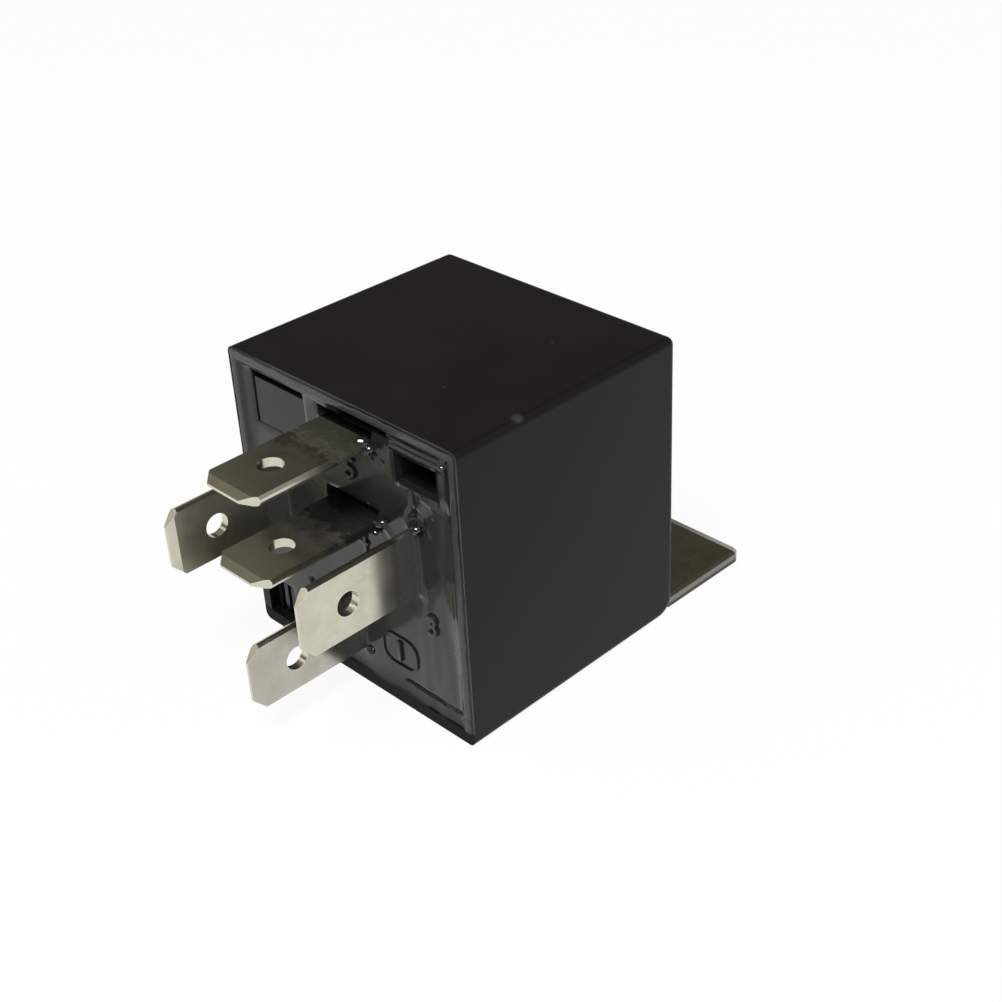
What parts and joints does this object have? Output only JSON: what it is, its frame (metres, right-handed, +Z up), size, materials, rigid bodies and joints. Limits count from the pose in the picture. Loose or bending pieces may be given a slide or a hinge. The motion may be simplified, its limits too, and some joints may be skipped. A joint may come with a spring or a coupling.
{
  "type": "automotive relay",
  "caption": "Cube-shaped changeover relay for a vehicle, with flat push-on blades in a resin-sealed base and a steel mounting bracket flush with the side it lies on.",
  "frame": {"origin": "centre of the bounding box's underside, on the side that the relay lies on, which is flush with its bracket", "axes": "+Z up, away from the bracket's side; -Y the way the blades point; +Y the way the bracket points; +X to the right, seen from the blades"},
  "size_m": [0.028, 0.0482, 0.0284],
  "materials": {
    "cover_plastic": "satin",
    "base_plastic": "satin",
    "resin": "gloss",
    "plated_steel": "satin",
    "tinned_brass": "satin",
    "plated_iron": "satin",
    "bobbin_plastic": "satin",
    "copper_wire": "gloss",
    "spring_bronze": "satin",
    "rivet_metal": "satin",
    "contact_silver": "satin"
  },
  "bodies": {
    "housing": {"cover": "cover_plastic", "base": "base_plastic", "potting": "resin", "bracket": "plated_steel", "terminal_normally_open": "tinned_brass", "terminal_normally_closed": "tinned_brass", "terminal_common": "tinned_brass", "terminal_coil_left": "tinned_brass", "terminal_coil_right": "tinned_brass", "yoke": "plated_iron", "core": "plated_iron", "bobbin": "bobbin_plastic", "coil_winding": "copper_wire", "coil_leads": "copper_wire", "braid": "copper_wire", "yoke_rivets": "rivet_metal", "contact_normally_open": "contact_silver", "contact_normally_closed": "contact_silver"},
    "armature": {"armature": "plated_iron", "armature_rivets": "rivet_metal", "contact_spring": "spring_bronze", "moving_contact": "contact_silver"}
  },
  "joints": [
    {"name": "armature_hinge", "type": "hinge", "parent": "housing", "child": "armature", "pos_m": [-0.00035, 0.00637, 0.0024], "axis": [1, 0, 0], "range_deg": [0, 3.2], "stiffness_Nm_per_rad": 0.15, "springref_deg": -2.86, "deforming": ["contact_spring", "braid"]}
  ]
}
